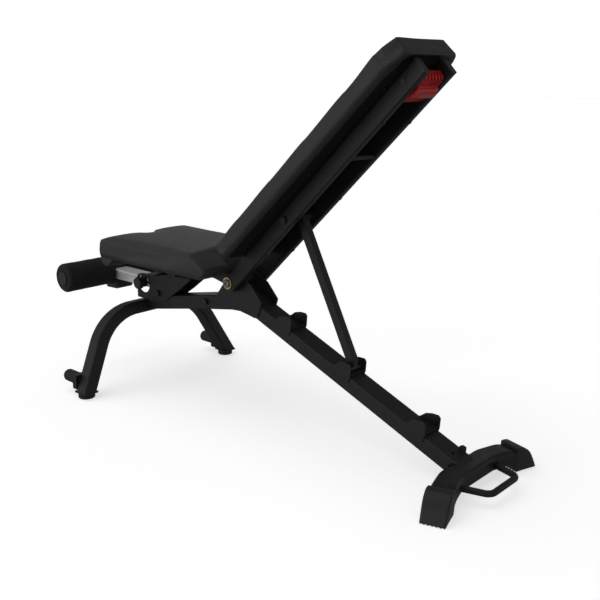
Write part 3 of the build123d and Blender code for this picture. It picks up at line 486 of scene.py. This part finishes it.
def back_cushion():
    blank = cushion_blank("back_pad", "vis_back_cushion", BACK)
    p = points_of(blank)
    extent = p.min(axis=0), p.max(axis=0)
    extent[1][2] += 0.002
    base, face = p[:, 2].min(), p[:, 2].max()
    low, high = p[:, 0].min(), p[:, 0].max()
    count = 150
    bins = np.clip(((p[:, 0] - low) / (high - low) * count).astype(int), 0, count - 1)
    widest = np.zeros(count)
    np.maximum.at(widest, bins, np.abs(p[:, 1]))
    steps = low + (np.arange(count) + 0.5) / count * (high - low)
    wanted = np.minimum(back_half_width(steps, low, high), widest + 0.014)
    ratio = np.interp(p[:, 0], steps[2:-2], (wanted / widest)[2:-2])
    ratio = np.where(p[:, 0] > low + 0.05, ratio, 1.0)
    p[:, 1] *= ratio
    depth = (p[:, 2] - base) / (face - base)
    tuck = 0.012 * (1 - np.clip(depth / 0.5, 0, 1)) ** 2
    half = np.maximum(np.abs(p[:, 1]), 0.02)
    rim = ease_in(half, 0.05, 0.10) * (1 - ease_in(p[:, 0], high - 0.06, high - 0.01))
    p[:, 1] *= 1 - tuck * rim / half
    put_points(blank, p)
    hold = (p[:, 2] < base + HELD_DEPTH) & (np.abs(p[:, 1]) < half.max() - 0.016)
    return rounded(squared_end(fitted(swell(blank, hold), *extent), *extent), BACK)


def seat_cushion():
    """The seat: a notched front lip that rolls under, and a slope down at the rear."""
    axes = Matrix.Translation((PIVOT.x, 0, 0))
    blank = cushion_blank("seat_pad", "vis_seat_cushion", axes)
    p = points_of(blank)
    extent = p.min(axis=0), p.max(axis=0)
    side = np.abs(p[:, 1]).max()
    front = p[:, 0].min()
    top, base = p[:, 2].max(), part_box("seat_board")[0].z
    edge = ease_in(np.abs(p[:, 1]), side - 0.03, side)
    low_edge = (1 - np.clip((p[:, 2] - base) / 0.018, 0, 1)) ** 2
    p[:, 1] -= np.sign(p[:, 1]) * 0.005 * low_edge * edge
    high_edge = np.clip((p[:, 2] - top + 0.014) / 0.014, 0, 1) ** 2
    p[:, 1] -= np.sign(p[:, 1]) * 0.006 * high_edge * edge
    put_points(blank, p)
    hold = (p[:, 2] < base + HELD_DEPTH) & (p[:, 2] > base - 0.004) & (p[:, 0] > front + 0.07)
    hold &= np.abs(p[:, 1]) < side - 0.014
    fitted(swell(blank, hold), *extent)
    p = points_of(blank)
    height = ease_in(p[:, 2], base + 0.01, top - 0.004)
    crown = SEAT_RISE + SEAT_CROWN * (1 - np.clip(np.abs(p[:, 1]) / side, 0, 1) ** 3)
    p[:, 2] += height * crown
    put_points(blank, p)
    return rounded(blank, axes)


for made, carried_by, soft_node in ((back_cushion, "backrest", "back_pad"),
                                    (seat_cushion, "seat", "seat_pad")):
    cushion = finished(made(), carried_by, "pad_vinyl", FINISHES["pad_vinyl"], soft_node)


# ---------------------------------------------------------------- foam rollers
def lathe(name, outline, centre, turns=96):
    """A closed skin turned about the Y axis from (radius, y) points."""
    work = bmesh.new()
    rings = []
    for radius, y in outline:
        ring = []
        for index in range(turns):
            angle = 2 * math.pi * index / turns
            ring.append(work.verts.new((centre.x + radius * math.cos(angle), y,
                                        centre.z + radius * math.sin(angle))))
        rings.append(ring)
    count = len(rings)
    for row in range(count):
        first, second = rings[row], rings[(row + 1) % count]
        for index in range(turns):
            after = (index + 1) % turns
            work.faces.new((first[index], first[after], second[after], second[index]))
    bmesh.ops.recalc_face_normals(work, faces=work.faces)
    mesh = bpy.data.meshes.new(name)
    work.to_mesh(mesh)
    work.free()
    return piece_from(name, mesh)


def foam_roller(side):
    node = f"foam_roller_{side}"
    low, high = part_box(node)
    centre = (low + high) / 2
    radius = (high.x - low.x) / 2
    bore, edge = ROLLER_BORE, ROLLER_EDGE
    inner, outer = low.y, high.y
    turn = [(edge * math.sin(a), edge * math.cos(a))
            for a in (math.pi / 2 * step / 8 for step in range(9))]
    rows = [(radius - edge + out, inner + edge - along) for out, along in turn]
    for step in range(1, 28):
        rows.append((radius, inner + edge + (outer - inner - 2 * edge) * step / 28))
    rows += [(radius - edge + out, outer - edge + along) for out, along in reversed(turn)]
    for share, dip in ((0.75, 0.0), (0.5, 0.0006), (0.25, 0.0012), (0.0, 0.0012)):
        rows.append((bore + (radius - edge - bore) * share, outer - dip))
    rows.append((bore, (inner + outer) / 2))
    for share in (0.0, 0.4, 0.75):
        rows.append((bore + (radius - edge - bore) * share, inner + 0.001 * (1 - share)))
    roller = lathe(f"vis_{node}", rows, centre)
    p = points_of(roller)
    for index, point in enumerate(p):
        away = Vector((point[0] - centre.x, 0, point[2] - centre.z))
        if away.length > bore + 0.004:
            lump = noise.noise(Vector(point) * 34.0) * 0.0006
            away *= lump / away.length
            p[index, 0] += away.x
            p[index, 2] += away.z
    put_points(roller, p)
    smooth_shaded(roller)
    finished(roller, f"roller_{side}", "roller_foam", FINISHES["roller_foam"], node)
    return roller


for side_name in SIDES:
    foam_roller(side_name)


# ---------------------------------------------------------------- moulded pieces from slices
def soft_outline(points, radius, steps=5):
    """A closed outline with its corners rounded, as a dense list of 2-D points."""
    dense = []
    count = len(points)
    for index, point in enumerate(points):
        here = Vector(point[:2])
        before, after = Vector(points[index - 1][:2]), Vector(points[(index + 1) % count][:2])
        to_before, to_after = (before - here), (after - here)
        reach = point[2] if len(point) > 2 else radius
        reach = min(reach, to_before.length * 0.48, to_after.length * 0.48)
        start = here + to_before.normalized() * reach
        end = here + to_after.normalized() * reach
        for step in range(steps + 1):
            t = step / steps
            dense.append(start * (1 - t) ** 2 + here * 2 * t * (1 - t) + end * t * t)
    return dense


def evened(outline, step):
    """The same outline with points no further apart than one step."""
    even = []
    for index, here in enumerate(outline):
        after = outline[(index + 1) % len(outline)]
        parts = max(1, math.ceil((after - here).length / step))
        even += [here.lerp(after, part / parts) for part in range(parts)]
    return even


def sliced(name, outline, stations, shape):
    """A closed body from one outline repeated across it; shape() places each point."""
    work = bmesh.new()
    middle = sum(outline, Vector((0, 0))) / len(outline)
    rings = []
    for station, inset in stations:
        ring = []
        for point in outline:
            away = point - middle
            inner = point - away * (inset / max(away.length, 1e-6))
            ring.append(work.verts.new(shape(inner, station)))
        rings.append(ring)
    count = len(outline)
    for first, second in zip(rings, rings[1:]):
        for index in range(count):
            after = (index + 1) % count
            work.faces.new((first[index], first[after], second[after], second[index]))
    for ring in (rings[0], rings[-1]):
        hub = work.verts.new(sum((v.co for v in ring), Vector()) / count)
        for index in range(count):
            work.faces.new((hub, ring[index], ring[(index + 1) % count]))
    bmesh.ops.recalc_face_normals(work, faces=work.faces)
    mesh = bpy.data.meshes.new(name)
    work.to_mesh(mesh)
    work.free()
    return smooth_shaded(piece_from(name, mesh))


def edge_stations(half, edge, spacing):
    """Places across a body with a rounded edge at both sides: (place, inset)."""
    rounding = [(half - edge + edge * math.sin(a), edge - edge * math.cos(a))
                for a in (math.pi / 2 * k / 4 for k in range(5))]
    flat = 2 * (half - edge)
    parts = max(2, round(flat / spacing))
    middle = [(-(half - edge) + flat * k / parts, 0.0) for k in range(1, parts)]
    return [(-y, i) for y, i in reversed(rounding)] + middle + rounding


def lever_piece():
    """The squeeze lever: a drum with ribs down its back and a smooth finger lip."""
    outline = soft_outline([
        (790, -8, 3), (786, 4, 6), (798, 9, 5), (824, 8, 9), (835, -2, 8), (834, -18, 6),
        (826, -25, 5), (808, -27.5, 2), (806, -35, 4), (799, -39, 4), (786, -38, 5),
        (776, -31, 7), (762, -22, 8), (748, -17, 2), (745, -13, 2), (754, -9, 4), (772, -13, 6)],
        4)
    outline = evened([p / 1000 for p in outline], 0.0015)
    half = min(-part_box("release_lever")[0].y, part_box("release_lever")[1].y)
    drum = Vector((0.812, -0.004))

    def shape(point, station):
        away = point - drum
        if point.x > 0.8075 and point.y < -0.004 and abs(station) < half - 0.003:
            across = abs((station / RIB_PITCH) % 1 - 0.5) * 2
            groove = float(ease_in(1 - across, 0.34, 0.78))
            fade = min(1, (point.x - 0.8075) / 0.003) * min(1, (-0.004 - point.y) / 0.004)
            point = point - away.normalized() * RIB_DEPTH * fade * groove
        lip = float(ease_in(-point.y, 0.020, 0.030)) * float(ease_in(point.x, 0.770, 0.785))
        return BACK @ Vector((point.x, station * (1 - LIP_TAPER * lip), point.y))

    lever = sliced("vis_release_lever", outline, edge_stations(half, 0.002, 0.0006), shape)
    return finished(lever, "release_lever", "lever_red", FINISHES["lever_red"], "release_lever")


def rear_shoe(side):
    """The plastic shoe over one end of the rear cross tube, with a scalloped sole."""
    node = f"rear_cap_{side}"
    sign = -1 if side == "left" else 1
    outline = soft_outline([
        (153, 63.8, 2), (170, 63.8, 8), (191, 49, 10), (204, 26, 16), (215, 0.2, 2),
        (150, 0.2, 2), (146, 16, 3)], 4, 7)
    outline = evened([p / 1000 for p in outline], 0.004)
    across = Vector((math.cos(SHOE_SWEEP), -sign * math.sin(SHOE_SWEEP), 0))
    start = Vector((0.6585, sign * SHOE_START, 0))

    def shape(point, station):
        taper = 1 - 0.07 * (1 - min(point.y / 0.060, 1))
        height = point.y
        if height < SOLE_DEPTH:
            scallop = 0.0012 * (1 - math.cos(2 * math.pi * station / SOLE_PITCH))
            height += scallop * (1 - height / SOLE_DEPTH)
        reach = point.x - SHOE_START
        out = Vector((reach * math.tan(SHOE_SWEEP), sign * reach, height))
        return start + out + across * station * taper

    shoe = sliced(f"vis_{node}", outline, edge_stations(0.0322, 0.0045, 0.0017), shape)
    return finished(shoe, "main_frame", "black_plastic", FINISHES["black_plastic"], node)


lever_piece()
for side_name in SIDES:
    rear_shoe(side_name)


# ---------------------------------------------------------------- node trees for what repeats
class Recipe:
    """A Geometry Nodes tree with named inputs, built link by link."""

    def __init__(self, name, *inputs):
        self.tree = bpy.data.node_groups.new(name, "GeometryNodeTree")
        face = self.tree.interface
        face.new_socket("Geometry", in_out="INPUT", socket_type="NodeSocketGeometry")
        face.new_socket("Geometry", in_out="OUTPUT", socket_type="NodeSocketGeometry")
        self.ids = {}
        for label, kind in inputs:
            socket = face.new_socket(label, in_out="INPUT", socket_type=f"NodeSocket{kind}")
            self.ids[label] = socket.identifier
        self.source = self.tree.nodes.new("NodeGroupInput")
        self.result = self.tree.nodes.new("NodeGroupOutput")

    def given(self, label):
        return self.source.outputs[label]

    def node(self, kind, settings=None, inputs=None, out=0):
        made = self.tree.nodes.new(kind)
        for key, value in (settings or {}).items():
            setattr(made, key, value)
        pairs = inputs.items() if isinstance(inputs, dict) else enumerate(inputs or [])
        for key, value in pairs:
            if isinstance(value, bpy.types.NodeSocket):
                self.tree.links.new(value, made.inputs[key])
            else:
                made.inputs[key].default_value = value
        return made.outputs[out]

    def close(self, geometry, material):
        solid = self.node("GeometryNodeRealizeInstances", {}, [geometry])
        done = self.node("GeometryNodeSetMaterial", {}, {"Geometry": solid, "Material": material})
        self.tree.links.new(done, self.result.inputs[0])
        return self

    def run(self, carrier, **values):
        """Runs the tree on a carrier and leaves the plain mesh in it."""
        made = carrier.modifiers.new("make", "NODES")
        made.node_group = self.tree
        for label, value in values.items():
            made[self.ids[label.replace("_", " ")]] = value
        return settled(carrier)


def bead_recipe():
    """Weld beads: flattened drops laid close together along a path."""
    r = Recipe("bead_path", ("Spacing", "Float"), ("Bead Radius", "Float"),
               ("Material", "Material"))
    path = r.node("GeometryNodeMeshToCurve", {}, {"Mesh": r.given("Geometry")})
    path = r.node("GeometryNodeResampleCurve", {"mode": "LENGTH"}, {
        "Curve": path, "Length": r.given("Spacing")})
    drop = r.node("GeometryNodeMeshIcoSphere", {}, {
        "Radius": r.given("Bead Radius"), "Subdivisions": 2})
    drop = r.node("GeometryNodeSetShadeSmooth", {}, {"Geometry": drop})
    size = r.node("FunctionNodeRandomValue", {"data_type": "FLOAT_VECTOR"}, {
        0: (0.85, 0.75, 0.85), 1: (1.15, 0.95, 1.15), "Seed": 7})
    laid = r.node("GeometryNodeInstanceOnPoints", {}, {
        "Points": path, "Instance": drop, "Scale": size})
    return r.close(laid, r.given("Material"))


def staple_recipe():
    """Staples: short flat wires across a path at even steps."""
    r = Recipe("staple_path", ("Spacing", "Float"), ("Crown", "Float"), ("Wire", "Float"),
               ("Normal", "Vector"), ("Material", "Material"))
    path = r.node("GeometryNodeMeshToCurve", {}, {"Mesh": r.given("Geometry")})
    path = r.node("GeometryNodeResampleCurve", {"mode": "LENGTH"}, {
        "Curve": path, "Length": r.given("Spacing")})
    crown = r.node("ShaderNodeCombineXYZ", {}, [r.given("Crown"), r.given("Wire"),
                                                r.given("Wire")])
    wire = r.node("GeometryNodeMeshCube", {}, {"Size": crown})
    along = r.node("GeometryNodeInputTangent")
    turn = r.node("FunctionNodeAxesToRotation", {"primary_axis": "Z", "secondary_axis": "X"}, {
        "Primary Axis": r.given("Normal"), "Secondary Axis": along})
    slant = r.node("FunctionNodeRandomValue", {"data_type": "FLOAT_VECTOR"}, {
        0: (0.0, 0.0, -0.25), 1: (0.0, 0.0, 0.25), "Seed": 3})
    turn = r.node("FunctionNodeRotateRotation", {"rotation_space": "LOCAL"}, {
        "Rotation": turn, "Rotate By": slant})
    laid = r.node("GeometryNodeInstanceOnPoints", {}, {
        "Points": path, "Instance": wire, "Rotation": turn})
    return r.close(laid, r.given("Material"))


def screw_recipe():
    """Button-head screws with hexagon sockets, one on each vertex, facing one way."""
    r = Recipe("button_heads", ("Head Radius", "Float"), ("Head Height", "Float"),
               ("Socket Radius", "Float"), ("Facing", "Vector"), ("Material", "Material"))
    dome = r.node("GeometryNodeMeshUVSphere", {}, {
        "Segments": 32, "Rings": 16, "Radius": r.given("Head Radius")})
    tall = r.node("ShaderNodeMath", {"operation": "DIVIDE"}, [
        r.given("Head Height"), r.given("Head Radius")])
    flat = r.node("ShaderNodeCombineXYZ", {}, [1.0, 1.0, tall])
    dome = r.node("GeometryNodeTransform", {}, {"Geometry": dome, "Scale": flat})
    key = r.node("GeometryNodeMeshCylinder", {}, {
        "Vertices": 6, "Radius": r.given("Socket Radius"), "Depth": r.given("Head Height")})
    lift = r.node("ShaderNodeCombineXYZ", {}, [0.0, 0.0, r.given("Head Height")])
    key = r.node("GeometryNodeTransform", {}, {"Geometry": key, "Translation": lift})
    head = r.node("GeometryNodeMeshBoolean", {"operation": "DIFFERENCE"}, {
        "Mesh 1": dome, "Mesh 2": key})
    points = r.node("GeometryNodeMeshToPoints", {}, {"Mesh": r.given("Geometry")})
    turn = r.node("FunctionNodeAlignRotationToVector", {"axis": "Z"}, {
        "Vector": r.given("Facing")})
    laid = r.node("GeometryNodeInstanceOnPoints", {}, {
        "Points": points, "Instance": head, "Rotation": turn})
    return r.close(laid, r.given("Material"))


def carrier(name, paths, closed=False):
    """One mesh that holds several paths, or single points, for a recipe to work on."""
    points, edges = [], []
    for path in paths:
        base = len(points)
        points += [tuple(p) for p in path]
        edges += [(base + i, base + i + 1) for i in range(len(path) - 1)]
        if closed:
            edges.append((base + len(path) - 1, base))
    mesh = bpy.data.meshes.new(name)
    mesh.from_pydata(points, edges, [])
    return piece_from(name, mesh)


BEADS = bead_recipe()
STAPLES = staple_recipe()
HEADS = screw_recipe()


# ---------------------------------------------------------------- screws under the boards
def board_screws():
    down_back = -(BACK.to_3x3() @ Vector((0, 0, 1)))
    for node, body, facing in (("back_screws", "backrest", down_back),
                               ("seat_screws", "seat", Vector((0, 0, -1)))):
        source = frame["nodes"][node].data
        work = bmesh.new()
        work.from_mesh(source)
        bmesh.ops.remove_doubles(work, verts=work.verts, dist=1e-5)
        places = []
        seen = set()
        for vert in work.verts:
            if vert in seen:
                continue
            island, stack = [], [vert]
            seen.add(vert)
            while stack:
                current = stack.pop()
                island.append(current.co.copy())
                for edge in current.link_edges:
                    other = edge.other_vert(current)
                    if other not in seen:
                        seen.add(other)
                        stack.append(other)
            centre = sum(island, Vector()) / len(island)
            deep = min((c - centre).dot(facing) for c in island)
            places.append(centre + facing * deep)
        work.free()
        heads = HEADS.run(carrier(f"vis_{node}", [[p] for p in places]), Head_Radius=0.0065,
                          Head_Height=0.0034, Socket_Radius=0.0023, Facing=facing,
                          Material=BLACK_HARDWARE)
        finished(heads, body, "zinc_steel", BLACK_HARDWARE, node)


board_screws()


# ---------------------------------------------------------------- staples under the cushions
def rectangle_path(x0, x1, y0, y1, corner, height):
    """Points round a rectangle with cut corners, in a cushion's own axes."""
    flat = [(x0 + corner, -y0), (x1 - corner, -y1), (x1, -y1 + corner), (x1, y1 - corner),
            (x1 - corner, y1), (x0 + corner, y0), (x0, y0 - corner), (x0, -y0 + corner)]
    return [Vector((x, y, height)) for x, y in flat]


def staple_ring(name, body, path, normal):
    ring = carrier(name, [path], closed=True)
    STAPLES.run(ring, Spacing=STAPLE_PITCH, Crown=STAPLE_CROWN, Wire=STAPLE_WIRE_WIDTH,
                Normal=normal, Material=STAPLE_WIRE)
    return finished(ring, body, "zinc_steel", STAPLE_WIRE)


def cushion_staples():
    low, high = Vector((1e9,) * 3), Vector((-1e9,) * 3)
    for vert in frame["nodes"]["back_board"].data.vertices:
        local = BACK.inverted() @ vert.co
        low = Vector(map(min, low, local))
        high = Vector(map(max, high, local))
    inset, narrowing, proud = 0.034, 0.022, 0.0003
    path = rectangle_path(low.x + 0.020, high.x - 0.040, high.y - inset,
                          high.y - inset - narrowing, 0.030, low.z - proud)
    staple_ring("vis_back_staples", "backrest", [BACK @ p for p in path],
                BACK.to_3x3() @ Vector((0, 0, 1)))
    low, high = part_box("seat_board")
    inset = 0.010
    path = rectangle_path(low.x + inset, high.x - inset, high.y - inset, high.y - inset, 0.014,
                          low.z - proud)
    staple_ring("vis_seat_staples", "seat", path, Vector((0, 0, 1)))


cushion_staples()


# ---------------------------------------------------------------- weld beads
def rail_point(station, height, y):
    """A point by the rear rail: along it from under the pivot, and square above its top."""
    return Vector((PIVOT.x + station * math.cos(RAIL_LEAN) + height * math.sin(RAIL_LEAN), y,
                   PIVOT.z - 0.020 - station * math.sin(RAIL_LEAN)
                   + height * math.cos(RAIL_LEAN)))


def frame_welds():
    paths = []
    for station in CATCH_STATIONS:
        first = station - 0.042
        for sign in (-1, 1):
            y = sign * TUBE_SIDE
            paths.append([rail_point(first, -0.0142, y), rail_point(first + 0.060, -0.0142, y)])
            paths.append([rail_point(first - 0.0003, -0.012, y), rail_point(first - 0.0003, 0, y)])
    welds = carrier("vis_frame_welds", paths)
    BEADS.run(welds, Spacing=WELD_PITCH, Bead_Radius=WELD_RADIUS, Material=WELD_COAT)
    smooth_shaded(welds)
    finished(welds, "main_frame", "frame_black", WELD_COAT)


frame_welds()


# ---------------------------------------------------------------- camera, floor and light
def studio():
    camera_data = bpy.data.cameras.new("camera")
    camera_data.lens = CAMERA_LENS
    camera_data.sensor_width = 36
    camera = bpy.data.objects.new("camera", camera_data)
    camera.location = CAMERA_PLACE
    aim = Vector(CAMERA_AIM) - Vector(CAMERA_PLACE)
    camera.rotation_euler = aim.to_track_quat("-Z", "Y").to_euler()
    scene.collection.objects.link(camera)
    scene.camera = camera

    half = 40.0
    mesh = bpy.data.meshes.new("floor")
    mesh.from_pydata([(-half, -half, 0), (half, -half, 0), (half, half, 0), (-half, half, 0)],
                     [], [(0, 1, 2, 3)])
    floor = piece_from("floor", mesh)
    floor.visible_diffuse = False
    floor.visible_glossy = False
    f = Finish("pale_floor")
    grain = f.noise(3.0, 2.0)
    dress(floor, f.surface(Base_Color=f.blend(grain, (0.79, 0.79, 0.79), (0.81, 0.81, 0.81)),
                           Roughness=0.9, Specular_IOR_Level=0.0,
                           Emission_Color=(1.0, 1.0, 1.0), Emission_Strength=FLOOR_GLOW))

    world = bpy.data.worlds.new("studio")
    scene.world = world
    world.use_nodes = True
    nodes, links = world.node_tree.nodes, world.node_tree.links
    place = nodes.new("ShaderNodeTexCoord")
    split = nodes.new("ShaderNodeSeparateXYZ")
    links.new(place.outputs["Generated"], split.inputs[0])
    half_up = nodes.new("ShaderNodeMath")
    half_up.operation = "MULTIPLY_ADD"
    half_up.inputs[1].default_value = 0.5
    half_up.inputs[2].default_value = 0.5
    links.new(split.outputs["Z"], half_up.inputs[0])
    ramp = nodes.new("ShaderNodeValToRGB")
    while len(ramp.color_ramp.elements) < len(SKY):
        ramp.color_ramp.elements.new(0.5)
    for element, (position, value) in zip(ramp.color_ramp.elements, SKY):
        element.position = position
        element.color = (value, value, value, 1)
    links.new(half_up.outputs[0], ramp.inputs[0])
    links.new(ramp.outputs["Color"], nodes["Background"].inputs["Color"])
    nodes["Background"].inputs["Strength"].default_value = 1.0

    for name, place, energy, spread in SUNS:
        data = bpy.data.lights.new(name, "SUN")
        data.energy = energy
        data.angle = math.radians(spread)
        light = bpy.data.objects.new(name, data)
        light.location = place
        light.rotation_euler = (-Vector(place)).to_track_quat("-Z", "Y").to_euler()
        scene.collection.objects.link(light)
    scene.view_settings.view_transform = "Standard"


studio()
